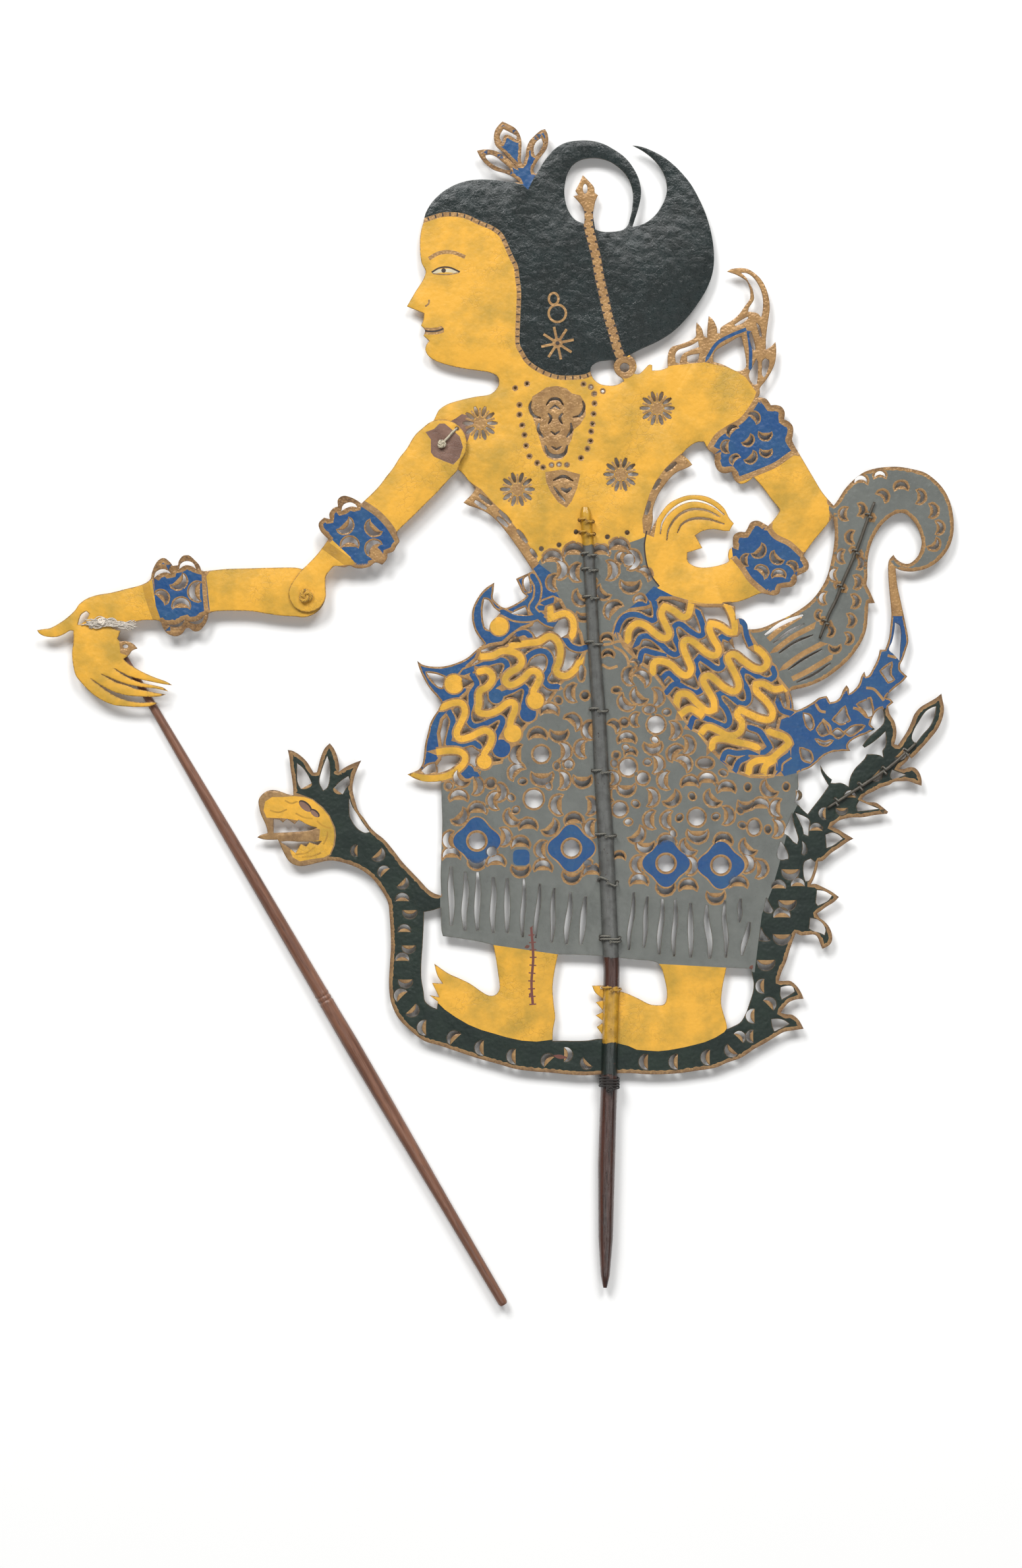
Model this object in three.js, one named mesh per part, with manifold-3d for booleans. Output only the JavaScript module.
// Leather shadow puppet: a standing woman on a crowned serpent, lying flat with its painted front up.
// Millimetres. +X is the viewer's right, +Y points to the head and +Z out of the painted front.
// The origin is on the main rod's flat rear face, just above the serpent's belly.
import * as THREE from "three";
import { mergeVertices } from "three/addons/utils/BufferGeometryUtils.js";
import Module from "manifold-3d";

const wasm = await Module();
wasm.setup();

// Driving dimensions
const hideThickness = 1.1;
const runningGap = 0.3; // between pieces that touch or turn on each other
const rodRearDepth = 4.2; // the half of the split rod behind the hide
const rodFrontDepth = 3.7; // the half in front of it
const rodRoundness = 2.5; // exponent of the rod's section, 2 being an ellipse
const windingRoundness = 3.2;
const threadRadius = 0.45;
const threadSpacing = 0.45; // free space between two turns of a winding
const tieStandOff = 0.1; // the thread stays this far above the table
const knotRadius = 1.1;
const cordRadius = 0.9; // the knotted cords at the joints
const rearKnotRadius = 2.6;
const rearKnotDepth = 2;
const frontKnotRadius = 2.3;
const frontKnotDepth = 2.1;
const spacerKnotRadius = 3.4;
const knotEndShare = 0.62; // a flattened knot's flat ends, as a share of its radius
const knotSides = 12;
const splintRadius = 1;
const splintThreadRadius = 0.35;
const shoulder = [-78.4, 292.3];
const elbow = [-142, 221.3];
const palm = [-237.5, 209.5];
const armRodEnd = [-49.3, -111];
const armRodStub = 5; // how far the arm rod runs on past the palm
const armRodLift = 2.75; // height of its axis at the palm
const armRodFloorGap = 0.1;
const armRodNeckRadius = 1.1;
const armRodEndChamfer = 0.5;
const palmBandWidth = 1.4;
const palmBandThickness = 0.7;

// Heights that follow from them
const hideBottom = rodRearDepth + runningGap;
const hideTop = hideBottom + hideThickness;
const hideMiddle = (hideBottom + hideTop) / 2;
const rodSlitTop = hideTop + runningGap;
const rodDepth = rodSlitTop + rodFrontDepth;
const forearmBottom = hideTop + runningGap;
const forearmTop = forearmBottom + hideThickness;
const upperArmBottom = forearmTop + runningGap;
const upperArmTop = upperArmBottom + hideThickness;

// The front of the figure's contour runs clockwise from the hairline. Each list is one stretch of it.
const hairTop = [
  [-87, 397], [-86, 401], [-83.5, 405.5], [-80, 409.3], [-76, 412.3], [-71, 414.8], [-66, 416.2],
  [-60, 416.8], [-52, 416.4], [-46, 415.7], [-41.5, 415.2],
];
const crownLeftLeaf = [
  [-45, 418], [-49, 419.8], [-54, 421.3], [-57.5, 423.8], [-60.3, 427], [-62, 430.3], [-58, 430.9],
  [-54, 430.4], [-51, 429.2], [-47, 426.3], [-43, 422.3],
];
const crownMiddleLeaf = [
  [-46, 425.8], [-49.5, 429.5], [-53, 432.5], [-54, 436], [-53.6, 439.5], [-52, 442], [-50, 444],
  [-47, 442.6], [-44, 440.8], [-42, 438], [-41.1, 434.5], [-41.2, 429], [-41.3, 425.5], [-40.3, 423.8],
];
const crownRightLeaf = [
  [-39.3, 427], [-38.8, 431], [-37.5, 434.5], [-35, 437.3], [-32, 439.8], [-30, 440.4], [-28.8, 438],
  [-28.5, 435], [-29.3, 431.3], [-32, 427.5], [-34.5, 424], [-35.6, 421], [-34.4, 419.3],
];
const hairLoop = [
  [-33, 421], [-31, 424.5], [-28, 428.5], [-25, 431.5], [-21, 433.8], [-16, 434.9], [-9, 435],
  [-3, 433.6], [2, 431], [7, 427.5], [10.5, 423.5], [13.5, 418], [14.8, 413], [14.9, 409], [13.6, 403],
  [11.7, 397], [10.9, 394.6],
];
const hairHorn = [
  [14, 395.2], [18, 397], [22, 400.5], [25, 405], [26.6, 409], [27.1, 412], [26.5, 417], [24.5, 421.5],
  [21, 426], [16, 430], [11, 432.7], [15, 432.2], [20, 430.3], [26, 427], [32, 422], [38, 415],
  [42, 408], [45.5, 400], [48, 391], [49.2, 381], [48.5, 373], [46, 366], [42.5, 360], [37, 352.5],
  [30, 345.5], [23, 341], [15, 337.3], [9.5, 334.5],
];
const hairpinFoot = [
  [11, 333.4], [12.5, 331.2], [12.8, 328.3], [11.8, 325.8], [13.5, 325.5], [15, 326.3], [17, 328.3],
  [18.8, 330], [20.2, 329.8], [20.2, 327.2], [24, 327.4], [27.5, 328.6],
];
const shoulderOrnament = [
  [27.4, 333], [28, 336.3], [29.5, 338.3], [33, 339.4], [38, 341.3], [40.6, 343.2], [40.7, 346],
  [41, 349.8], [43.4, 347], [44.6, 343.2], [46, 342.6], [46.1, 347], [46.7, 352.8], [49, 350.6],
  [50.6, 347], [50.6, 344.8], [52, 344.6], [52.3, 347.2], [54.5, 348.8], [58, 351], [61, 353.7],
  [63.5, 357.2], [66, 360.8], [66.2, 363.5], [65.8, 366], [64.6, 369], [63, 370.3], [60, 372],
  [57, 373.1], [55.3, 373.6], [57, 374.7], [60, 375.2], [63, 375.2], [65.5, 374.6], [68, 373],
  [70.5, 370.8], [72.5, 368], [74, 364.5], [75, 360.5], [75.3, 356], [74.5, 350], [73.6, 343],
  [73.5, 337], [76, 338.5], [78, 340.7], [78.4, 336.5], [77.8, 331], [76, 326.6], [73.5, 322.6],
  [70.6, 318.8], [70.7, 317], [70, 314.8], [68.5, 314.3],
];
const rearArm = [
  [70.5, 314.6], [73.5, 314], [75, 312.3], [75.8, 310.9], [78.3, 311], [80.8, 310.2], [82.3, 307.8],
  [82.1, 304.2], [84.3, 303.2], [86.2, 300.8], [86.2, 297], [85.8, 294.6], [87.5, 291], [92, 283.3],
  [96, 276.5], [100, 270], [105.3, 263.8],
];
const greyTail = [
  [107.5, 266.8], [110.5, 271.5], [114.5, 275.8], [119.5, 279.5], [125, 281.3], [131, 282], [136, 282],
  [142, 281], [148, 279.3], [153.5, 275.3], [157.5, 270.5], [160, 265], [161.3, 259], [161.6, 253],
  [160.5, 247], [158, 242], [154, 237.5], [149, 234.5], [143, 233], [138, 233.2], [134.3, 234.6],
];
const featherStrip = [
  [134.6, 231], [135.2, 226], [136.5, 220], [138, 213], [139.3, 207], [140.3, 200.5], [139.3, 196.5],
  [137.6, 191.5], [136.5, 189.3], [136.6, 187], [138.3, 185.1], [139.8, 183.8], [138.2, 181.8],
  [134.5, 178.8], [131, 175.7], [129.5, 173.8], [131.8, 173.2], [133.3, 171.5], [130.8, 169.6],
];
const serpentTailTop = [
  [131.5, 166.3], [133.8, 162.5], [134.7, 158.5], [134.5, 155], [133.7, 152], [135.5, 151.5],
  [137.5, 154.5], [140, 158.5], [141.8, 162.5], [143.2, 166], [146, 169.3], [150, 171.7],
  [153.5, 173.8], [155.8, 175.7], [156.3, 173], [157, 169], [156.4, 164.5], [154, 159], [150.5, 154.5],
  [147, 150.5], [144, 147.3], [141.8, 145.3], [140.8, 146.3], [140, 144.5], [138, 142.5],
  [135.8, 140.5], [138, 140.3], [141, 141.2], [143.5, 140.8], [145.5, 138.5], [146.5, 135.5],
  [146.5, 132.5], [143.5, 133.5], [140.5, 134.6], [137, 134.6], [133.5, 134.3], [131.5, 132.9],
  [130, 132.5], [127, 131.5], [124, 129.8], [120.5, 128.2], [118.4, 126.3],
];
const serpentTailLeaves = [
  [121, 124.9], [125, 124.6], [128, 122.6], [130.8, 120.3], [130.3, 119.3], [125, 118.8], [119, 117.7],
  [113, 117.5], [108, 116.2], [105.5, 114.3], [104.3, 113.2], [107, 112.2], [111, 109.8],
  [114.6, 107.7], [112, 106.3], [108, 103.5], [104, 100.8], [100, 97.2], [98, 97], [97.6, 94],
  [96, 89], [94.6, 86.2], [96.5, 86.5], [99.5, 85.3], [104, 83], [107.8, 80.3], [105.5, 78],
  [102, 75.8], [99.5, 74], [97.5, 72.6], [98.5, 70.7], [101, 68.8], [103.3, 66], [104.6, 62],
  [104.2, 59], [102.5, 57.2], [100, 56], [99, 58.5], [98, 61], [96.5, 62.6], [93, 62.5], [90, 62.3],
  [87.5, 63.4],
];
const serpentBack = [
  [86.2, 60], [84.5, 55], [83, 50], [80.8, 45], [79.6, 41], [81.5, 40.9], [85, 40.9], [88, 38.5],
  [90, 35.5], [91.2, 32.6], [88, 32.3], [84.5, 31], [82, 28.3], [80.5, 26], [83, 25.3], [86, 25],
  [89, 22.5], [91.2, 18.5], [86.5, 17.8], [82, 17], [78, 14.8], [73.5, 12], [68, 9], [62, 5],
  [55, 2.5], [50, 0.3],
];
const serpentBelly = [
  [40, -1.3], [33, -2.3], [25, -2.8], [17, -2.8], [10, -2.3], [0, -2.6], [-10, -3.3], [-18, -3],
  [-26, -2.2], [-35, -1.5], [-44, -0.3], [-52, 2], [-62, 4.8], [-71, 7.8], [-80, 10.8], [-86, 12.5],
  [-90, 15], [-94, 18.5], [-98, 22.5], [-100.5, 26.5], [-102.5, 32], [-103.2, 40], [-102.7, 50],
  [-102.3, 57], [-102.5, 65], [-103, 72], [-103.5, 77], [-105.2, 81], [-108.5, 86], [-112, 90],
  [-117, 93.5], [-122, 95.6], [-127, 97], [-131, 97.4], [-136, 96.5], [-140, 95.5], [-144, 94.8],
  [-147, 95.2], [-150, 97], [-152.5, 101], [-154.5, 105.5], [-155.3, 107.2],
];
const serpentSnout = [
  [-158, 107.1], [-162, 107.3], [-165, 108.2], [-163.8, 109.2], [-161, 110.1], [-160.1, 110.4],
  [-160.6, 113], [-161.5, 115.3], [-163.2, 119], [-164.1, 122.5], [-164.4, 125.5], [-163.3, 127.7],
  [-161, 129.7], [-158.3, 130.5], [-155.5, 130.2], [-150.5, 128.5], [-148, 128],
];
const serpentCrest = [
  [-148.3, 133], [-149.3, 140], [-150, 146], [-150.7, 149.3], [-148.3, 148.8], [-145, 146.8],
  [-142, 144], [-139.7, 140.5], [-138.6, 138.6], [-137, 138.8], [-136.3, 141.5], [-135.3, 145.5],
  [-133.5, 149.8], [-131, 152.4], [-129, 149.8], [-127.3, 145.5], [-126.5, 140.3], [-127, 138.8],
  [-124, 141], [-120, 143], [-116.2, 144.4], [-117.8, 141], [-119.5, 136.5], [-120.3, 132],
];
const serpentNeck = [
  [-120, 129], [-119, 125], [-117.5, 120.5], [-115, 117.3], [-112, 113], [-109.5, 110.5],
  [-105.5, 107.3], [-101, 102], [-97, 96.8], [-92.5, 92], [-88.5, 87.8], [-85, 84], [-82, 82],
  [-78.7, 80.9],
];
const leftWing = [
  [-79, 90], [-78.8, 97], [-78.6, 103], [-78.2, 115], [-78.5, 125], [-78.7, 134.6], [-82, 134.3],
  [-87, 134.5], [-91.5, 136], [-94.6, 137.8], [-91.5, 139], [-89, 140.3], [-87.5, 143], [-86.8, 147],
  [-86.3, 152], [-84.8, 158], [-84, 161.5], [-82.5, 164.5], [-80.5, 167.5], [-79.3, 169.8],
  [-78.3, 171.4], [-80, 173.5], [-84, 178], [-87, 183], [-89, 187.5], [-90, 191], [-87.5, 189.3],
  [-84, 188.5], [-79, 188.3], [-75, 189], [-71, 190.3], [-66.5, 192.5], [-63, 195.5], [-60.5, 197.7],
  [-58.5, 199.3], [-60.5, 201.5], [-63, 205.5], [-64.3, 211], [-63.8, 216], [-61, 221.5], [-58, 225],
  [-53.8, 227.8], [-54.2, 223.5], [-54.5, 220.5], [-52.5, 218], [-49.5, 216], [-47, 216.3],
  [-43, 218.3], [-40, 220.3], [-38.5, 221.5], [-40.5, 223], [-42, 226], [-43.7, 229.5], [-40.5, 231],
  [-37.5, 232.3], [-35.8, 233.5],
];
const leftSash = [
  [-37.5, 236], [-40, 240], [-43.5, 245], [-47.5, 250.5], [-52, 256], [-56.5, 260], [-61.5, 262.5],
  [-66, 264], [-68.3, 265.3], [-65.5, 268], [-63.5, 270.3], [-62.5, 272.2], [-65, 274.5],
];
const shoulderLobe = [
  [-69.8, 280], [-74, 281.5], [-80, 283], [-84.5, 288], [-86, 294], [-85, 299.5], [-82, 304.3],
  [-80.5, 307.5], [-79.5, 309], [-76, 311.3], [-72, 312.7], [-67, 314], [-62, 315], [-56, 316],
  [-53, 318.3], [-51.6, 321.5],
];
// The face is a plain one in equal thirds: hairline to brow, brow to nose and nose to chin.
const faceProfile = [
  [-52.5, 324.5], [-56, 326.3], [-60, 327], [-70, 328.5], [-78, 330.5], [-83.5, 333], [-86, 336.2],
  [-85.8, 339], [-84.3, 341], [-87, 343.5], [-86.3, 346], [-88.2, 348.3], [-87, 351.5], [-86.8, 354],
  [-94.8, 357.3], [-91.5, 363], [-86, 373], [-88, 378], [-88.7, 386], [-88.3, 392],
];
const bodyOutline = [
  hairTop, crownLeftLeaf, crownMiddleLeaf, crownRightLeaf, hairLoop, hairHorn, hairpinFoot,
  shoulderOrnament, rearArm, greyTail, featherStrip, serpentTailTop, serpentTailLeaves, serpentBack,
  serpentBelly, serpentSnout, serpentCrest, serpentNeck, leftWing, leftSash, shoulderLobe, faceProfile,
].flat();

// Gaps cut through the body hide, named for what lies on either side
const hairLoopGap = [
  [-21, 411], [-20.5, 416], [-19.3, 420], [-16.5, 424], [-12, 426.3], [-6, 426.8], [0, 425.3],
  [5, 422], [8.5, 418], [10.5, 413.5], [11.2, 409], [10.8, 403], [9.8, 398.5], [8.5, 395], [6, 393],
  [0, 392.2], [-4, 392.5], [-6.5, 393.5], [-7.5, 400], [-7, 404], [-6.3, 407], [-5.2, 409.5],
  [-6.7, 410.5], [-7, 413], [-9, 415.5], [-12.3, 418.8], [-14, 415], [-15.8, 411.5], [-14.5, 409.5],
  [-16.7, 409], [-14, 406], [-12, 403], [-11.5, 399], [-11.7, 396], [-16, 398], [-19, 402],
  [-20.5, 406.5],
];
const napeGap = [
  [-8.8, 327.5], [-8, 329.5], [-5, 331.3], [0, 332], [2.5, 332], [2.2, 328.3], [3.5, 325.5],
  [6, 323.6], [7, 322.3], [3, 320.3], [-3, 320.5], [-6, 322], [-8, 324.5],
];
const akimboGap = [
  [34, 287.8], [37, 291], [41, 293.5], [44.5, 293.8], [46.5, 290], [49.3, 287.9], [49.5, 284],
  [51, 280.5], [54, 279], [57.5, 279.7], [58.5, 276.5], [61, 274.2], [64, 274.5], [67.8, 277.2],
  [72, 272.5], [76, 267], [80, 262], [79.5, 260.5], [77, 257], [74.5, 254.3], [72.5, 255.5],
  [69.5, 256.8], [66.5, 256], [64.8, 253], [63.8, 251.4], [61, 251.5], [58.5, 250], [58, 247],
  [58.3, 244.5], [56.5, 243.5], [55.8, 240.5], [56.3, 238], [55, 237], [50, 235.5], [44, 234.8],
  [39.5, 235.7], [36.8, 238], [36.7, 241.8], [43.7, 244], [42, 247], [40.3, 249.8], [44, 252],
  [49, 252.8], [54, 252], [56.5, 252], [57.5, 254], [58.5, 255.5], [56.3, 258], [54, 262.5],
  [50, 266], [45, 268.3], [38, 268.8], [33, 267.5], [28, 264.8], [24, 260], [20.5, 254], [19, 250.3],
  [20.5, 257], [20.5, 262], [22.5, 268], [26, 273.5], [31, 279], [37, 281.8], [39, 283], [37, 285.5],
];
const forearmTailGap = [
  [53, 218.2], [60, 218.7], [65, 220.3], [71, 222.7], [74, 222.3], [77, 221.7], [79.5, 222.5],
  [80.5, 225.2], [83, 225.5], [86, 226], [87.8, 228], [88, 230.8], [90.5, 232], [93, 233.5],
  [93.7, 236], [93, 238], [91, 240.5], [92, 242], [96, 247.5], [101, 253.5], [105, 258.8],
  [105.6, 255], [105.8, 250], [105.3, 244], [104, 237], [102, 230], [99, 224.5], [95, 219.5],
  [90, 215.5], [84, 212], [78, 209.3], [73, 207], [69, 206], [65, 205.8], [64.8, 208], [63, 210.5],
  [61, 211], [59.5, 210.5], [59.2, 213], [59, 216.5], [56, 217.4],
];
const tailFeatherGap = [
  [133.3, 240.8], [134.8, 238.7], [138, 236.8], [141, 236.8], [144.5, 239.8], [146, 243],
  [146.6, 247], [145.3, 252], [142.5, 256.8], [138.5, 260.2], [134.5, 260], [130, 257], [126.5, 253],
  [123.5, 247.5], [121.6, 241], [121.1, 236], [121.1, 230], [120.7, 227], [122.3, 223.5],
  [124.6, 218.2], [121.6, 218], [121.3, 213], [120.8, 207], [119.3, 202], [116.5, 197], [112, 191.3],
  [106, 186], [100, 182], [93, 179], [87, 177.6], [84.7, 176.8], [85.5, 174.5], [86.3, 171],
  [86.5, 168.2], [88, 167.9], [92, 169.6], [96, 172], [98.5, 173.8], [102, 174.6], [102.9, 173],
  [103.6, 171.6], [106, 172.2], [108.3, 174], [109.8, 177.5], [111.3, 179.6], [112.4, 178],
  [112.5, 175.6], [114.5, 177], [117, 180], [118.4, 184], [119.7, 186], [120.4, 183.6], [122, 184.5],
  [124, 188], [126, 192.3], [127, 196.3], [129.5, 196.3], [131.3, 202], [132, 208], [132.4, 213],
  [131.8, 220], [131.2, 227], [130.9, 233], [131.2, 238],
];
const featherSerpentGap = [
  [88.7, 138.7], [90.5, 139.5], [94, 140.8], [97.5, 143.5], [100.5, 146.3], [104, 148], [109, 148.7],
  [113.2, 148.8], [112, 150.5], [112.5, 152.5], [116, 155], [121, 157], [124.6, 159], [122.5, 161.3],
  [123.5, 164.5], [125.5, 167.6], [128, 169], [128.9, 166], [128.7, 162], [125.5, 158.5],
  [121.5, 155], [118.8, 151.3], [119.8, 150.3], [123, 152.3], [126.5, 155], [129.6, 158],
  [129.9, 153], [129.3, 150.5], [128.2, 149], [128.6, 145.8], [127, 146.8], [124, 147.3],
  [120.8, 147.3], [120, 145.5], [118, 143.3], [115.5, 140.8], [113.5, 137.5], [112.6, 134.5],
  [112.3, 132], [111, 132.9], [108.5, 133.9], [106, 133.7], [103.9, 133.8], [104.5, 135.3],
  [102.5, 137], [100.5, 139.5], [99, 142.3], [99.5, 138.8], [101.5, 135], [103, 132.5], [99.5, 127.5],
  [96, 123], [93.1, 119.2], [91, 121], [89, 123.2], [87, 124.8], [88, 128.5], [88.7, 132],
  [88.6, 136.5],
];
const frontFootGap = [
  [-78.8, 75.4], [-83, 74], [-86.8, 73.3], [-87, 66], [-87.5, 57], [-88, 50], [-88, 42], [-87, 36],
  [-86.3, 31.5], [-83.5, 29], [-80.8, 27.8], [-80.3, 31.2], [-84.3, 34.3], [-79.7, 33.3], [-83, 40],
  [-78, 39.7], [-80.5, 43.5], [-82, 49], [-75.5, 44.5], [-70, 42], [-65, 39.5], [-60, 36],
  [-57, 34.3], [-54.5, 34], [-52.3, 35.3], [-51.3, 38], [-52, 44], [-53, 51], [-54.3, 57.8],
  [-60, 59.2], [-66, 60.3], [-72, 61.2], [-78, 62], [-78.7, 66],
];
const betweenFeetGap = [
  [-24, 53.4], [-13, 53.2], [-3, 52.6], [5, 51.8], [12, 51], [22, 49.8], [24.5, 47], [26, 42],
  [27, 37], [27, 32.5], [25.8, 30], [23, 29.5], [19, 30], [14, 32.5], [9, 34.8], [5, 36.2],
  [-2, 38.6], [-8, 38.7], [-6.5, 35.5], [-2, 32], [-6.3, 31], [-2.5, 26.6], [-6.3, 24.8],
  [-2.3, 21.8], [-5.8, 19.3], [-3, 15.5], [-1.5, 13.6], [-5, 13.8], [-10, 13], [-16, 12.8],
  [-22, 12.9], [-26.5, 12.8], [-26.3, 18], [-25.3, 24], [-26, 30], [-26.5, 38], [-25.5, 46],
];
const rearHeelGap = [
  [55, 47.2], [60, 47], [66.5, 46.7], [67, 44], [67.8, 40], [67.5, 36], [66, 31], [64, 25.5],
  [61.5, 21.5], [57.5, 19.3], [55.3, 18.3], [55, 21], [53.5, 26], [52.5, 30.5], [53, 37], [54, 42.5],
];
const largeGaps = [
  hairLoopGap, napeGap, akimboGap, forearmTailGap, tailFeatherGap, featherSerpentGap, frontFootGap,
  betweenFeetGap, rearHeelGap,
];
const crownCuts = [
  [
    [-58, 428.2], [-55.5, 428.5], [-53, 427.5], [-50.5, 425.5], [-47.5, 423], [-46, 421.2],
    [-48.5, 421.3], [-52, 422.5], [-55.5, 424.5], [-57.8, 427],
  ],
  [
    [-49.5, 440.5], [-46, 438.8], [-43.3, 437.3], [-43.4, 435.3], [-45, 436.5], [-48, 437.8],
    [-49.3, 437], [-50, 434], [-51.3, 436.5], [-50.8, 438.5],
  ],
  [[-31.8, 436.3], [-34, 434.7], [-35.3, 432], [-35.2, 429], [-34.5, 427.8], [-32.3, 430.5], [-31, 433.5]],
];
const shoulderOrnamentCuts = [
  [
    [61.8, 373.1], [64.2, 370.8], [65.5, 368.5], [67, 366], [67.8, 363], [67.9, 360.5],
    [66.8, 358.5], [65.5, 356.5], [65.2, 354.8], [67, 354.6], [69.5, 354.1], [71.3, 352.2],
    [72, 355], [72.2, 360], [71.5, 364], [70, 367.5], [67.5, 371], [64.5, 372.9],
  ],
  [
    [31.3, 331], [31, 334.5], [32.4, 336.8], [36, 338.1], [39, 339.3], [41.7, 341], [42.2, 338.3],
    [38.5, 336.9], [35, 335.2], [33.6, 333.3], [33, 330.5],
  ],
  [[36.6, 334], [39.5, 334.8], [42.3, 335.2], [42, 333], [41.5, 331.3], [38, 330.8], [36.6, 331.5]],
  [
    [49, 331.3], [48.8, 334], [50.2, 336.7], [53, 338.5], [57, 340.8], [60, 342.6], [62, 343.2],
    [62.8, 340], [63.6, 336], [64.2, 332], [64.2, 329.3], [63, 327.6], [60, 326.9], [57.5, 327.9],
    [54, 329.7],
  ],
  [[65.6, 344.5], [66.8, 345], [67.8, 341.5], [68.6, 338], [68.5, 336.6], [67.3, 337.3], [66.4, 340]],
  [
    [69, 332.8], [67.6, 329.5], [65.6, 325.5], [66.2, 322.5], [67.8, 320.5], [69.3, 320.8],
    [69.7, 325], [69.7, 331],
  ],
  [
    [71.8, 331.5], [73.3, 333], [75, 332], [75, 330], [74, 326.5], [72.8, 324], [71.8, 325],
    [71.7, 328.5],
  ],
  [[69, 349.5], [70.3, 348.5], [71.3, 345.5], [71.6, 342.8], [70.6, 343.5], [69.8, 346.5]],
];
const serpentHeadCuts = [
  [
    [-157.3, 116.8], [-154.5, 116.5], [-153, 115.2], [-151, 117], [-147.5, 114.5], [-145.5, 116.5],
    [-141, 114], [-137, 112.8], [-140, 111.6], [-148, 110.8], [-157.3, 110.4],
  ],
  [
    [-154, 106.2], [-151, 106.5], [-145, 106.2], [-138, 106.3], [-134.7, 106.5], [-136.5, 104.7],
    [-140.5, 106], [-142, 104], [-144.5, 105.3], [-147, 101], [-150.5, 103.8],
  ],
  [
    [-146.3, 143], [-143.5, 140.7], [-141, 137], [-139.5, 133.7], [-144.5, 131], [-146, 134],
    [-146.3, 138],
  ],
  [
    [-132.2, 146.5], [-131.2, 143], [-131, 137], [-132, 132], [-134, 130.3], [-135.8, 134],
    [-134.8, 139.5],
  ],
  [[-122.3, 137], [-121.5, 134], [-123.3, 131.5], [-125, 128.5], [-129, 131.5], [-126, 134.5]],
  [
    [-121.8, 126.5], [-120.3, 122.5], [-118, 119], [-115.5, 115], [-112.3, 110.8], [-114.8, 110.5],
    [-118.5, 113], [-121.5, 118], [-121.8, 122],
  ],
];
const serpentTailCuts = [
  [
    [153.3, 169.7], [152.5, 165], [150.5, 160.5], [147, 156.5], [143.7, 152.3], [142, 154.5],
    [142.7, 158], [145.5, 163], [148.5, 167.3], [151.5, 169.2],
  ],
  [[132.7, 140], [136, 138.7], [139, 137.7], [136, 136.5], [132.8, 135.5], [131.8, 137]],
  [[117.3, 125.5], [120, 124.3], [126.5, 121.7], [121, 121], [116.5, 120.6], [116, 123]],
  [[101.5, 109.5], [104.5, 110.5], [107.5, 109.5], [109.5, 107.7], [105, 104.5], [102, 103.3]],
  [
    [97.5, 83.5], [101, 83], [104.5, 81], [102.5, 78.5], [98, 76.3], [97, 77.5], [97.2, 80.5],
  ],
  [
    [94.3, 70.5], [97.5, 69.8], [100, 68], [101.5, 65], [101, 62.5], [99, 63.5], [96, 64.3],
    [93.8, 65.5],
  ],
  [
    [80.5, 38], [83.5, 38.7], [86, 38.3], [87, 36], [84.5, 34.3], [81, 32.3], [80.3, 34.5],
  ],
  [[76, 23], [79, 23.2], [82, 22.5], [84.5, 20.8], [81, 19], [77.5, 17.3], [76.5, 20]],
];
const skirtSerpentCuts = [
  [
    [85.8, 119.8], [84, 115], [82.3, 111.5], [82.2, 110], [84, 109], [86.5, 106.2], [88.2, 105.2],
    [88.7, 107.5], [87.8, 111], [86.5, 115],
  ],
  [
    [87.3, 119.8], [89, 116.5], [90.8, 112.5], [91.3, 109.8], [93.4, 109], [93.6, 112.5], [94, 116],
    [92.5, 117.6],
  ],
  [[90.5, 106.5], [92, 105], [92.8, 102], [91.5, 100], [90.3, 100.8], [90.8, 103.5]],
  [[80.5, 106.5], [79, 102], [79, 99], [80.5, 97.8], [84, 98.3], [84, 100], [82.2, 104]],
  [[91.5, 96.5], [94.5, 98.3], [96.8, 96.5], [95.5, 91.5], [93.8, 88], [92, 87.8], [91.2, 91]],
  [[73.8, 80], [75, 77.5], [77, 74], [76, 72.7], [73.5, 73.2], [72.5, 74]],
  [[71.2, 66], [73, 62.5], [75.5, 60.2], [74, 59.7], [70.3, 60]],
];
const leftWingCuts = [
  [
    [-58.5, 220], [-56.5, 219.5], [-54, 216], [-51, 213.7], [-53, 211.5], [-55.5, 209],
    [-56.3, 205.5], [-58, 206.5], [-59, 210], [-59.3, 215],
  ],
  [[-46, 213.3], [-39.3, 216.3], [-38, 212.3]],
  [[-38, 231], [-39.8, 229.5], [-39.8, 226], [-38.3, 223.3], [-37, 223.8], [-37.3, 228]],
  [[-46.5, 199.8], [-43, 202.3], [-41.5, 200]],
  [
    [-85.5, 185.5], [-81, 184.8], [-77.3, 183.5], [-77.7, 180.5], [-78.3, 178.5], [-80.5, 179.3],
    [-83.5, 182.5],
  ],
  [[-69, 183], [-63.5, 181.3], [-68.5, 178.3]],
  [[-88, 139.5], [-85, 142], [-81.7, 143], [-81, 139.2], [-86, 138]],
];

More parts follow.
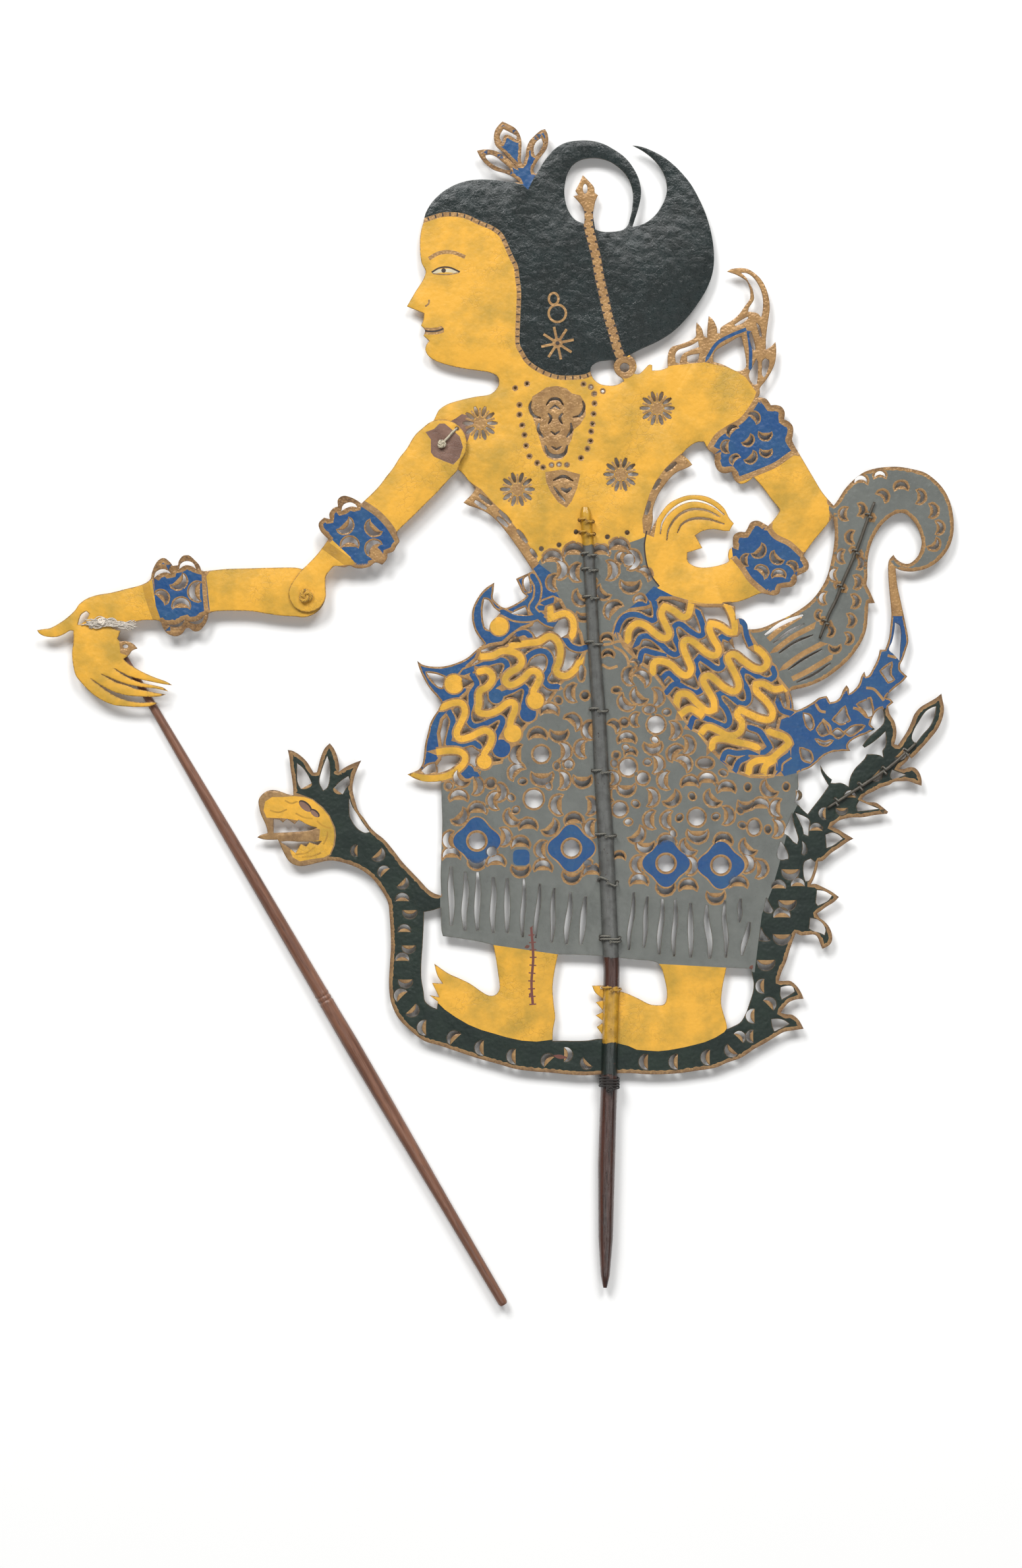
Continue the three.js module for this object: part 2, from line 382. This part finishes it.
// Fringe slots of the skirt's hem: top x, top y, bottom x, bottom y
const fringeWidth = 1.8;
const fringeSlots = [
  [-74, 94, -74, 67.5], [-67.5, 91.5, -67.5, 65], [-61.7, 91.5, -61.7, 65], [-54.3, 89, -54.3, 64],
  [-47.8, 88.5, -47.8, 64], [-40, 88.5, -40.5, 62], [-32.5, 86, -34.5, 61.5], [-25.7, 84, -27, 59.5],
  [-18.2, 82, -20, 58.7], [-11, 80, -13.3, 58.5], [11.5, 82, 9.3, 56], [18, 80, 16.2, 57],
  [25, 79, 23.5, 54], [31, 78.5, 30.5, 53], [38.2, 77, 38.3, 52.5], [45.8, 76, 47.2, 52],
  [54.2, 78, 54.7, 52.5], [61.7, 79, 61, 69], [65.8, 68, 62.2, 53.5],
];
// Round punches: x, y, radius
const flowerPunches = [
  [-62, 106.6, 4], [-17.7, 103.2, 4], [26.7, 96.1, 4], [52.4, 95.2, 4],
];
const roundPunches = [
  [-31.8, 147.3, 3.7], [-35.3, 126.3, 4.3], [22, 161.2, 4], [8.8, 141.2, 3.9], [5, 121.5, 3.3],
  [41, 117.7, 3.9], [68, 113, 3], [45, 143, 3], [15.8, 136, 2.7], [19, 168.2, 2], [7.3, 328.6, 2.2],
];
// Crescent punches of the skirt: x, y and the compass point that the crescent bulges to
const crescentRadius = 4;
const crescentHornAngle = 100; // degrees from the bulge to each horn
const crescentHollow = crescentRadius / 3; // how far forward of the centre its hollow front comes
const skirtCrescents = [
  [-33.5, 155.5, "N"], [-23.5, 157.5, "S"], [-28, 167, "N"], [-17.5, 162, "NE"], [-12, 149.8, "W"],
  [-42, 147, "W"], [-22.5, 135, "E"], [-69, 136.5, "SW"], [-63, 132.5, "E"], [-70.5, 118.5, "SE"],
  [-61.7, 120.5, "N"], [-45, 118, "SW"], [-28, 113.5, "SE"], [-23, 123.5, "W"], [-16.5, 115.5, "N"],
  [-41.5, 104.5, "N"], [-74, 107, "W"], [-50, 108.5, "E"], [-30.5, 102.5, "W"], [14.5, 175, "SW"],
  [21.5, 174, "E"], [29.5, 158.5, "E"], [20.5, 151.5, "S"], [31.5, 147.5, "NW"], [27, 135, "W"],
  [38, 133, "N"], [49, 127, "SW"], [55, 130.5, "N"], [71, 122.5, "N"], [79.5, 122, "W"],
  [78, 112.5, "E"], [54.5, 118.5, "E"], [28.5, 116.5, "W"], [29, 127, "SE"], [19, 127, "E"],
  [41.5, 110.5, "S"], [65.5, 104, "SW"], [14.5, 95.5, "W"], [37.5, 95, "E"], [64, 96, "E"],
];

// Front arm. The upper arm runs down its outer side to the elbow and up its inner side.
const shoulderEndRadius = 11.7;
const elbowDiscCentre = [-141.3, 222.5];
const elbowDiscRadius = 8.7;
const upperArmOuterSide = [
  [-91, 296.5], [-95, 290], [-98, 286.3], [-101, 281.5], [-104.5, 277], [-107.5, 273], [-111, 269.3],
  [-116, 264.6], [-118, 266], [-121, 267.5], [-124.5, 268.2], [-127, 266.5], [-127, 263.2],
  [-129, 262.5], [-131, 260], [-130.8, 257.3], [-133.5, 258], [-136, 255.3], [-135.3, 252],
  [-133, 249.3], [-131.5, 248], [-133.5, 245], [-137, 240.5], [-141.5, 235.8], [-144.5, 233],
];
const upperArmInnerSide = [
  [-132.8, 230], [-131, 233], [-128.5, 235.3], [-124, 234.8], [-121.5, 235.5], [-119, 234.5],
  [-116, 234.2], [-112, 235.2], [-109.5, 237], [-106.3, 236], [-104.2, 238.5], [-103.8, 241.2],
  [-101, 242.3], [-99.5, 245], [-98.2, 247], [-99.5, 250.5], [-98.5, 252.3], [-92, 258.5],
  [-86, 264.5], [-80, 270.5], [-75, 276], [-71, 280.3],
];
const upperArmCuts = [
  [
    [-125.5, 261], [-124.5, 264], [-121.5, 265.2], [-118.8, 264.2], [-118, 262.8], [-120.5, 263.2],
    [-123, 262.5],
  ],
];
const upperArmCrescents = [[-124, 254.5, "SE"], [-110, 253.5, "SW"], [-121.5, 245, "N"]];

// Forearm and hand, from the elbow's top along the bracelet to the thumb, fingers and wrist
const forearmEndCentre = [-144, 222.7];
const forearmEndRadius = 11.3;
const forearmTopEdge = [
  [-147, 234.7], [-160, 234.6], [-170, 234.3], [-180, 234], [-190, 233], [-191, 233.3], [-192, 235.8],
  [-194.5, 238.5], [-197, 240.5], [-199.5, 240.3], [-201.5, 238], [-202, 235.8], [-204.5, 235.5],
  [-206, 237.5], [-208.5, 239.2], [-211, 238.3], [-213, 235.5], [-214.3, 232], [-214.8, 229.5],
  [-216.3, 228], [-220, 226.3], [-226, 224.8], [-233, 223], [-240, 221.8], [-245, 220],
];
const thumb = [
  [-248.5, 217.3], [-250, 215], [-253, 212], [-257, 209], [-262, 206.3], [-265, 205.9], [-268, 205.4],
  [-267, 203.8], [-264, 202.4], [-259, 202.2], [-255.5, 203.5], [-252.5, 205.2], [-251, 205],
];
const littleFinger = [
  [-251, 200], [-251.6, 195], [-251.2, 189.5], [-249.8, 184], [-247, 180.5], [-243, 176.3],
  [-238, 172.8], [-232, 170.3], [-226, 169.6], [-220, 169.4], [-215, 169.8], [-211.6, 171.3],
  [-214, 171.7], [-220, 171.5], [-226, 172.5], [-231, 174.3], [-235.5, 177], [-239.5, 180],
  [-243, 182.8],
];
const ringFinger = [
  [-238.5, 179.8], [-232, 176.5], [-226, 174.8], [-220, 174.3], [-211, 174.3], [-207.7, 175.3],
  [-212, 176], [-217, 177], [-222, 178], [-226, 179.5], [-231, 181], [-238, 184.8],
];
const middleFinger = [
  [-228, 180.8], [-222, 179.2], [-217, 178.5], [-212, 177.9], [-206.6, 176.7], [-209, 178.5],
  [-214, 179.7], [-220, 181], [-225, 183], [-229, 185.3], [-232, 187.5],
];
const foreFinger = [
  [-226, 184.3], [-220, 182.4], [-214, 181.1], [-209.5, 180.2], [-204.6, 179.5], [-207.5, 181.3],
  [-213, 183.3], [-219, 186], [-223.5, 188.6], [-226, 190.3], [-227.5, 191.9], [-225, 193.8],
  [-223.5, 195.8], [-221, 196.8], [-223, 199], [-226, 200.2], [-229.3, 200.3], [-230.3, 201.5],
  [-229.3, 204], [-229, 205], [-233, 206.5],
];
const wrist = [
  [-229, 208.3], [-222, 209.3], [-219, 210], [-215, 210.1], [-210.5, 209.5], [-209, 206.5],
  [-207, 203.8], [-203, 202.5], [-200, 203.8], [-198.5, 206], [-197, 206.5], [-194.5, 204.8],
  [-192, 205.2], [-189.8, 207.5], [-188.2, 210.5], [-187.8, 213.2], [-184, 214.3], [-168, 214.3],
  [-160, 213], [-152, 212],
];
const forearmCuts = [
  [[-249, 208], [-247.5, 212.5], [-245, 214.3], [-243.5, 213], [-244.8, 210.5], [-248, 207.9]],
  [
    [-213.3, 229.8], [-212.5, 232.5], [-209.5, 234], [-206.5, 233.2], [-205.3, 231.8],
    [-208, 232.5], [-211, 231.5],
  ],
  [
    [-201.5, 234], [-200.8, 236.5], [-198, 237.8], [-195, 236.8], [-193.5, 234], [-195.5, 235.3],
    [-198.5, 235.8],
  ],
  [
    [-207.3, 208.2], [-204, 206.8], [-200.5, 207.5], [-198.7, 210.5], [-201, 208.8], [-204, 207.9],
  ],
  [
    [-197.3, 209.3], [-194, 208.2], [-191, 209], [-189.5, 212.5], [-190.8, 211], [-193.5, 209.6],
  ],
];
const forearmCrescents = [[-202, 228.5, "SE"], [-200.5, 216.5, "N"]];

// Main rod, from the handle's tip to the head end: x and y of the centreline, half width, and how far
// the section is drawn in from the rod's flat faces
const rodStations = [
  [-1.9, -102.9, 0.9, 3.7],
  [-1.8, -97, 2.1, 1.7],
  [-1.6, -79.7, 3.4, 0.4],
  [-1.2, -44.6, 4, 0],
  [0, -6.2, 3.8, 0],
  [1.2, 44.3, 3.75, 0],
  [-1.6, 108.5, 3.75, 0],
  [-3.1, 130.2, 3.6, 0],
  [-5, 169, 3.3, 0],
  [-7.4, 202.1, 3, 0],
  [-9.6, 241.8, 2.7, 0],
  [-11, 260, 2.5, 0],
  [-11.2, 262.9, 1.7, 0.7],
];
const rodSectionSides = 16;
const rodSectionSwell = 1.08; // the section is drawn this much deeper, then cut to its flat faces
const slitEnd = -3; // the split stops just below the serpent's belly
const rodCutReach = 20; // how far the cutting boxes reach past the rod

// Bindings of the main rod: y and the number of turns
const rodTies = [
  [256.7, 1], [250.8, 1], [240.9, 1], [233.7, 1], [220.7, 1], [199.3, 1], [168, 1], [139.2, 1],
  [109.4, 1], [87.7, 1], [60.8, 2], [37.5, 1],
];
const handleBindingMiddle = -6.5;
const handleBindingTurns = 4;
const tieSteps = 12;
const windingSteps = 24;
const threadSides = 6;

// Arm rod: distance from the palm, radius
const armRodProfile = [
  [5, 1.5], [46.3, 1.95], [117.8, 2.85], [189.4, 3.2], [200.7, 3.25], [202.7, 3.45], [204, 3.05],
  [205.2, 3.45], [206.4, 3.05], [207.6, 3.5], [210, 3.4], [229.6, 3.65], [260.2, 3.45], [319.5, 2.6],
  [370.4, 2.2],
];
const armRodBulge = armRodProfile.reduce((widest, mark) => (mark[1] > widest[1] ? mark : widest));
const armRodSides = 14;

// Splints sewn to the front of the two tails
const tailSplintRoute = [
  [124.3, 265.4], [121, 257], [117.5, 247], [113.5, 237], [109.5, 228], [106.5, 220], [103, 213],
  [98.6, 201.5],
];
const serpentSplintRoute = [[102.3, 122.1], [117.5, 131.9], [131.8, 141.7], [143.8, 152.5]];
const splintStitchPlaces = [0.1, 0.36, 0.62, 0.88]; // shares of a splint's length

const colours = {
  body: 0xc79a33,
  arm: 0xdea82d,
  rod: 0x2c211d,
  armRod: 0x784f3f,
  thread: 0x8d7b4d,
  darkThread: 0x26211c,
  cord: 0xcfc6ae,
  splint: 0x6b5836,
};
const compass = { E: 0, NE: 45, N: 90, NW: 135, W: 180, SW: 225, S: 270, SE: 315 };
const weldDistance = 1e-4;

// A closed three.js geometry as a solid that can be joined and cut
function solidOf(geometry) {
  const bare = geometry.clone();
  bare.deleteAttribute("normal");
  bare.deleteAttribute("uv");
  const welded = mergeVertices(bare, weldDistance);
  const mesh = new wasm.Mesh({
    numProp: 3,
    vertProperties: new Float32Array(welded.attributes.position.array),
    triVerts: new Uint32Array(welded.index.array),
  });
  return new wasm.Manifold(mesh);
}

// The way back, from a joined or cut solid to a geometry for a mesh
function geometryOf(solid) {
  const mesh = solid.getMesh();
  const geometry = new THREE.BufferGeometry();
  geometry.setAttribute("position", new THREE.BufferAttribute(mesh.vertProperties, 3));
  geometry.setIndex(new THREE.BufferAttribute(mesh.triVerts, 1));
  geometry.computeVertexNormals();
  return geometry;
}

// A flat plate with the given outline between two heights
function plate(outline, low, high) {
  const shape = new THREE.Shape(outline.map(([x, y]) => new THREE.Vector2(x, y)));
  const geometry = new THREE.ExtrudeGeometry(shape, { depth: high - low, bevelEnabled: false });
  geometry.translate(0, 0, low);
  return solidOf(geometry);
}

// Points on an arc, from one angle to another in degrees, both ends included
function arc([x, y], radius, from, to, steps) {
  const points = [];
  for (let i = 0; i <= steps; i += 1) {
    const angle = THREE.MathUtils.degToRad(from + ((to - from) * i) / steps);
    points.push([x + radius * Math.cos(angle), y + radius * Math.sin(angle)]);
  }
  return points;
}

function roundHole([x, y], radius, sides) {
  return arc([x, y], radius, 0, 360 - 360 / sides, sides - 1);
}

// A crescent punch: a round back, two horns and a hollow front that comes a third of the way forward
function crescentHole([x, y, bulge]) {
  const heading = compass[bulge];
  const back = arc([x, y], crescentRadius, heading - crescentHornAngle, heading + crescentHornAngle, 4);
  const turn = THREE.MathUtils.degToRad(heading);
  const front = [x + crescentHollow * Math.cos(turn), y + crescentHollow * Math.sin(turn)];
  return [...back, front];
}

// A slot of even width along one line
function slotHole([topX, topY, bottomX, bottomY]) {
  const along = new THREE.Vector2(bottomX - topX, bottomY - topY).normalize();
  const side = new THREE.Vector2(-along.y, along.x).multiplyScalar(fringeWidth / 2);
  return [
    [topX - side.x, topY - side.y],
    [topX, topY + fringeWidth / 2],
    [topX + side.x, topY + side.y],
    [bottomX + side.x, bottomY + side.y],
    [bottomX - side.x, bottomY - side.y],
  ];
}

// A hide plate with its holes cut through
function hide(outline, holes, bottom) {
  let sheet = plate(outline, bottom, bottom + hideThickness);
  for (const hole of holes) {
    sheet = sheet.subtract(plate(hole, bottom - hideThickness, bottom + 2 * hideThickness));
  }
  return sheet;
}

// A closed skin over a row of rings that each go anticlockwise about the direction of travel
function loft(rings) {
  const sides = rings[0].length;
  const positions = rings.flat().flatMap((point) => [point.x, point.y, point.z]);
  const faces = [];
  for (let i = 0; i + 1 < rings.length; i += 1) {
    for (let j = 0; j < sides; j += 1) {
      const a = i * sides + j;
      const b = i * sides + ((j + 1) % sides);
      faces.push(a, b, b + sides, a, b + sides, a + sides);
    }
  }
  const last = (rings.length - 1) * sides;
  for (let j = 1; j + 1 < sides; j += 1) {
    faces.push(0, j + 1, j);
    faces.push(last, last + j, last + j + 1);
  }
  const geometry = new THREE.BufferGeometry();
  geometry.setAttribute("position", new THREE.Float32BufferAttribute(positions, 3));
  geometry.setIndex(faces);
  return geometry;
}

// A cosine or sine raised towards a square, which rounds a box's corners
function squared(value, roundness) {
  return Math.sign(value) * Math.abs(value) ** (2 / roundness);
}

// The rod's centre and half width at a place along it
function rodAt(y) {
  const next = rodStations.findIndex((station) => station[1] >= y);
  const [x0, y0, half0] = rodStations[next - 1];
  const [x1, y1, half1] = rodStations[next];
  const share = (y - y0) / (y1 - y0);
  return { x: x0 + share * (x1 - x0), half: half0 + share * (half1 - half0) };
}

// One unbroken thread wound round a piece that lies along a line, with the points where it passes the
// body hide. Its ends lie side by side in front, where a knot can cover them.
function winding({ centre, along, half, low, high, radius, turns, steps }) {
  const forward = new THREE.Vector3(along[0], along[1], 0).normalize();
  const across = new THREE.Vector3(forward.y, -forward.x, 0);
  const pitch = pitchOf(radius);
  const middle = (low + high) / 2;
  const depth = ((high - low) / 2) * rodSectionSwell;
  const pointAt = (angle) => {
    const height = middle + depth * squared(Math.cos(angle), windingRoundness);
    return new THREE.Vector3(centre[0], centre[1], THREE.MathUtils.clamp(height, low, high))
      .addScaledVector(across, half * squared(Math.sin(angle), windingRoundness))
      .addScaledVector(forward, pitch * (angle / (2 * Math.PI) - turns / 2));
  };
  const count = steps * turns;
  const route = [];
  for (let i = 0; i <= count; i += 1) {
    route.push(pointAt((2 * Math.PI * i) / steps));
  }
  const rings = route.map((point, i) => {
    const tangent = route[Math.min(i + 1, count)].clone().sub(route[Math.max(i - 1, 0)]).normalize();
    const first = forward.clone().addScaledVector(tangent, -forward.dot(tangent)).normalize();
    const second = new THREE.Vector3().crossVectors(tangent, first);
    const ring = [];
    for (let j = 0; j < threadSides; j += 1) {
      const angle = (2 * Math.PI * j) / threadSides;
      ring.push(
        point
          .clone()
          .addScaledVector(first, radius * Math.cos(angle))
          .addScaledVector(second, radius * Math.sin(angle)),
      );
    }
    return ring;
  });
  const level = (hideMiddle - middle) / depth;
  const crossing = Math.acos(Math.sign(level) * Math.abs(level) ** (windingRoundness / 2));
  const crossings = [];
  for (let turn = 0; turn < turns; turn += 1) {
    for (const angle of [crossing, 2 * Math.PI - crossing]) {
      const point = pointAt(angle + 2 * Math.PI * turn);
      crossings.push([point.x, point.y]);
    }
  }
  return { solid: solidOf(loft(rings)), route, crossings, start: route[0] };
}

// The least free space between the turns of a winding, measured on its route
function leastGap({ route }, radius, steps) {
  let least = Infinity;
  for (let i = 0; i < route.length; i += 1) {
    for (let j = i + Math.floor(steps / 2); j < route.length; j += 1) {
      least = Math.min(least, route[i].distanceTo(route[j]));
    }
  }
  return least - 2 * radius;
}

function ball(radius, x, y, z) {
  const geometry = new THREE.SphereGeometry(radius, 8, 5);
  geometry.rotateX(Math.PI / 2);
  geometry.translate(x, y, z);
  return solidOf(geometry);
}

// A turned solid about a vertical line: pairs of radius and height that start and end on the axis
function turned(profile, [x, y], sides) {
  const geometry = new THREE.LatheGeometry(profile.map(([r, z]) => new THREE.Vector2(r, z)), sides);
  geometry.rotateX(Math.PI / 2);
  geometry.translate(x, y, 0);
  return solidOf(geometry);
}

// A flattened knot as half a profile, from its low side to its high side
function knotProfile(radius, low, high) {
  const middle = (low + high) / 2;
  const inner = knotEndShare * radius;
  return [[inner, low], [radius, (low + middle) / 2], [radius, (high + middle) / 2], [inner, high]];
}

function bodyTies() {
  const bind = (y, turns, steps) => {
    const { x, half } = rodAt(y);
    const clear = runningGap + threadRadius;
    return winding({
      centre: [x, y],
      along: [0, 1],
      half: half + clear,
      low: tieStandOff + threadRadius,
      high: rodDepth + clear,
      radius: threadRadius,
      turns,
      steps,
    });
  };
  const ties = rodTies.map(([y, turns]) => {
    const thread = bind(y, turns, tieSteps);
    const knotHeight = rodDepth + runningGap + knotRadius;
    const knot = ball(knotRadius, thread.start.x, y - (turns * pitchOf(threadRadius)) / 2, knotHeight);
    return { ...thread, y, turns, solid: thread.solid.add(knot) };
  });
  const binding = bind(handleBindingMiddle, handleBindingTurns, windingSteps);
  return { ties, binding: { ...binding, y: handleBindingMiddle, turns: handleBindingTurns } };
}

function pitchOf(radius) {
  return 2 * radius + threadSpacing;
}

// The split rod: a rounded bar, slit from the head end for the hide, notched behind for each binding
function mainRod(bindings) {
  const middle = rodDepth / 2;
  const rings = rodStations.map(([x, y, half, drawnIn]) => {
    const depth = (middle - drawnIn) * rodSectionSwell;
    const ring = [];
    for (let j = 0; j < rodSectionSides; j += 1) {
      const angle = (2 * Math.PI * j) / rodSectionSides;
      const height = middle + depth * squared(Math.cos(angle), rodRoundness);
      const z = THREE.MathUtils.clamp(height, drawnIn, rodDepth - drawnIn);
      ring.push(new THREE.Vector3(x + half * squared(Math.sin(angle), rodRoundness), y, z));
    }
    return ring;
  });
  const reach = rodCutReach;
  const box = (low, high, bottom, top) =>
    plate([[-reach, low], [reach, low], [reach, high], [-reach, high]], bottom, top);
  const headEnd = rodStations.at(-1)[1] + reach;
  let rod = solidOf(loft(rings)).subtract(box(slitEnd, headEnd, rodRearDepth, rodSlitTop));
  const notchTop = tieStandOff + 2 * threadRadius + runningGap;
  for (const { y, turns } of bindings) {
    const spread = (turns * pitchOf(threadRadius)) / 2 + threadRadius + runningGap;
    rod = rod.subtract(box(y - spread, y + spread, -reach, notchTop));
  }
  return rod;
}

// The knotted cord that is a pivot, through one or two hides
function pivotCord(place, levels) {
  const [rearFace, frontFace] = levels;
  const rearTop = rearFace - runningGap;
  const frontLow = frontFace + runningGap;
  const rear = knotProfile(rearKnotRadius, rearTop - rearKnotDepth, rearTop);
  const front = knotProfile(frontKnotRadius, frontLow, frontLow + frontKnotDepth);
  const profile = [
    [0, rear[0][1]],
    ...rear,
    [cordRadius, rear[3][1]],
    [cordRadius, front[0][1]],
    ...front,
    [0, front[3][1]],
  ];
  return turned(profile, place, knotSides);
}

function shoulderCord() {
  const spacer = knotProfile(spacerKnotRadius, hideTop + runningGap, upperArmBottom - runningGap);
  const profile = [[0, spacer[0][1]], ...spacer, [0, spacer[3][1]]];
  return pivotCord(shoulder, [hideBottom, upperArmTop]).add(turned(profile, shoulder, knotSides));
}

// Direction and length from the palm to the arm rod's far end, and its climb over that length
const armRodRun = new THREE.Vector2(armRodEnd[0] - palm[0], armRodEnd[1] - palm[1]);
const armRodSlope = (armRodBulge[1] + armRodFloorGap - armRodLift) / armRodBulge[0];

// Places a piece that is turned about the Y axis so that it lies along the arm rod, from the palm on
function layOnArmRod(geometry) {
  const run = new THREE.Vector3(armRodRun.x, armRodRun.y, armRodRun.length() * armRodSlope).normalize();
  const turn = new THREE.Quaternion().setFromUnitVectors(new THREE.Vector3(0, 1, 0), run);
  geometry.applyQuaternion(turn);
  geometry.translate(palm[0], palm[1], armRodLift);
  return solidOf(geometry);
}

function armRod() {
  const groove = palmBandWidth / 2 + runningGap;
  const shaft = armRodProfile[0][1];
  const profile = [
    [0, -armRodStub],
    [shaft - armRodEndChamfer, -armRodStub],
    [shaft, armRodEndChamfer - armRodStub],
    [shaft, -groove],
    [armRodNeckRadius, -groove],
    [armRodNeckRadius, groove],
    [shaft, groove],
    ...armRodProfile.map(([distance, radius]) => [radius, distance]),
    [armRodProfile.at(-1)[1] - armRodEndChamfer, armRodRun.length()],
    [0, armRodRun.length()],
  ];
  const points = profile.map(([radius, distance]) => new THREE.Vector2(radius, distance));
  return layOnArmRod(new THREE.LatheGeometry(points, armRodSides));
}

// The thread at the palm: a band round the arm rod's neck, a stem through the hand and a knot in front
function handTie() {
  const inner = armRodNeckRadius + runningGap;
  const outer = inner + palmBandThickness;
  const edge = palmBandWidth / 2;
  const section = [[inner, -edge], [outer, -edge], [outer, edge], [inner, edge], [inner, -edge]];
  const ring = section.map(([radius, distance]) => new THREE.Vector2(radius, distance));
  const band = layOnArmRod(new THREE.LatheGeometry(ring, 16));
  const stemFoot = armRodLift + inner + palmBandThickness / 2;
  const frontLow = forearmTop + runningGap;
  const front = knotProfile(frontKnotRadius, frontLow, frontLow + frontKnotDepth);
  const foot = [[0, stemFoot], [cordRadius, stemFoot], [cordRadius, front[0][1]]];
  return band.add(turned([...foot, ...front, [0, front[3][1]]], palm, knotSides));
}

// A splint on the front of the hide, with the stitches that hold it down
function splint(route) {
  const height = hideTop + runningGap + splintRadius;
  const curve = new THREE.CatmullRomCurve3(route.map(([x, y]) => new THREE.Vector3(x, y, height)));
  const section = new THREE.Shape(
    roundHole([0, 0], splintRadius, 8).map(([x, y]) => new THREE.Vector2(x, y)),
  );
  const steps = 2 * (route.length - 1);
  const bar = solidOf(
    new THREE.ExtrudeGeometry(section, { extrudePath: curve, steps, bevelEnabled: false }),
  );
  const clear = runningGap + splintThreadRadius;
  const stitches = splintStitchPlaces.map((share) => {
    const point = curve.getPointAt(share);
    const tangent = curve.getTangentAt(share);
    return winding({
      centre: [point.x, point.y],
      along: [tangent.x, tangent.y],
      half: splintRadius + clear,
      low: hideBottom - clear,
      high: height + splintRadius + clear,
      radius: splintThreadRadius,
      turns: 1,
      steps: 12,
    });
  });
  return { bar, stitches };
}

const puppet = new THREE.Group();

function addPiece(name, solid, colour, roughness, metalness = 0) {
  const material = new THREE.MeshStandardMaterial({ color: colour, roughness, metalness });
  const mesh = new THREE.Mesh(geometryOf(solid), material);
  mesh.name = name;
  puppet.add(mesh);
}

const { ties, binding } = bodyTies();
const tailSplint = splint(tailSplintRoute);
const serpentSplint = splint(serpentSplintRoute);
const stitches = [...tailSplint.stitches, ...serpentSplint.stitches];
const pivotHole = cordRadius + runningGap;

const bodyHoles = [
  ...largeGaps,
  ...crownCuts,
  ...shoulderOrnamentCuts,
  ...serpentHeadCuts,
  ...serpentTailCuts,
  ...skirtSerpentCuts,
  ...leftWingCuts,
  ...fringeSlots.map(slotHole),
  ...flowerPunches.map(([x, y, radius]) => roundHole([x, y], radius, 10)),
  ...roundPunches.map(([x, y, radius]) => roundHole([x, y], radius, 8)),
  ...skirtCrescents.map(crescentHole),
  ...ties.flatMap((tie) => tie.crossings).map((point) => roundHole(point, threadRadius + runningGap, 6)),
  ...stitches
    .flatMap((stitch) => stitch.crossings)
    .map((point) => roundHole(point, splintThreadRadius + runningGap, 6)),
  roundHole(shoulder, pivotHole, 12),
];
addPiece("body_hide", hide(bodyOutline, bodyHoles, hideBottom), colours.body, 0.62);

const upperArmOutline = [
  ...upperArmOuterSide,
  ...arc(elbowDiscCentre, elbowDiscRadius, 145, 370, 12),
  ...upperArmInnerSide,
  ...arc(shoulder, shoulderEndRadius, -42, 137, 10),
];
const upperArmHoles = [
  ...upperArmCuts,
  ...upperArmCrescents.map(crescentHole),
  roundHole(shoulder, pivotHole, 12),
  roundHole(elbow, pivotHole, 12),
];
addPiece("upper_arm_hide", hide(upperArmOutline, upperArmHoles, upperArmBottom), colours.arm, 0.6);

const forearmOutline = [
  ...forearmTopEdge,
  ...thumb,
  ...littleFinger,
  ...ringFinger,
  ...middleFinger,
  ...foreFinger,
  ...wrist,
  ...arc(forearmEndCentre, forearmEndRadius, -105, 88, 12),
];
const forearmHoles = [
  ...forearmCuts,
  ...forearmCrescents.map(crescentHole),
  roundHole(elbow, pivotHole, 12),
  roundHole(palm, pivotHole, 12),
];
addPiece("forearm_hide", hide(forearmOutline, forearmHoles, forearmBottom), colours.arm, 0.6);

addPiece("main_rod", mainRod([...ties, binding]), colours.rod, 0.35);
ties.forEach((tie, i) => {
  addPiece("rod_tie_" + String(i + 1).padStart(2, "0"), tie.solid, colours.thread, 0.8);
});
addPiece("handle_binding", binding.solid, colours.darkThread, 0.85);
addPiece("arm_rod", armRod(), colours.armRod, 0.4);
addPiece("shoulder_cord", shoulderCord(), colours.cord, 0.85);
addPiece("elbow_cord", pivotCord(elbow, [forearmBottom, upperArmTop]), colours.cord, 0.85);
addPiece("hand_tie", handTie(), colours.cord, 0.85);
for (const [name, { bar, stitches: loops }] of [["tail", tailSplint], ["serpent", serpentSplint]]) {
  addPiece(name + "_splint", bar, colours.splint, 0.55);
  loops.forEach((loop, i) => addPiece(name + "_stitch_" + (i + 1), loop.solid, colours.thread, 0.8));
}

console.log("least gap in the handle binding: " + leastGap(binding, threadRadius, windingSteps).toFixed(2));
const doubleTie = ties.find((tie) => tie.turns > 1);
console.log("least gap in the double tie: " + leastGap(doubleTie, threadRadius, tieSteps).toFixed(2));

export default puppet;
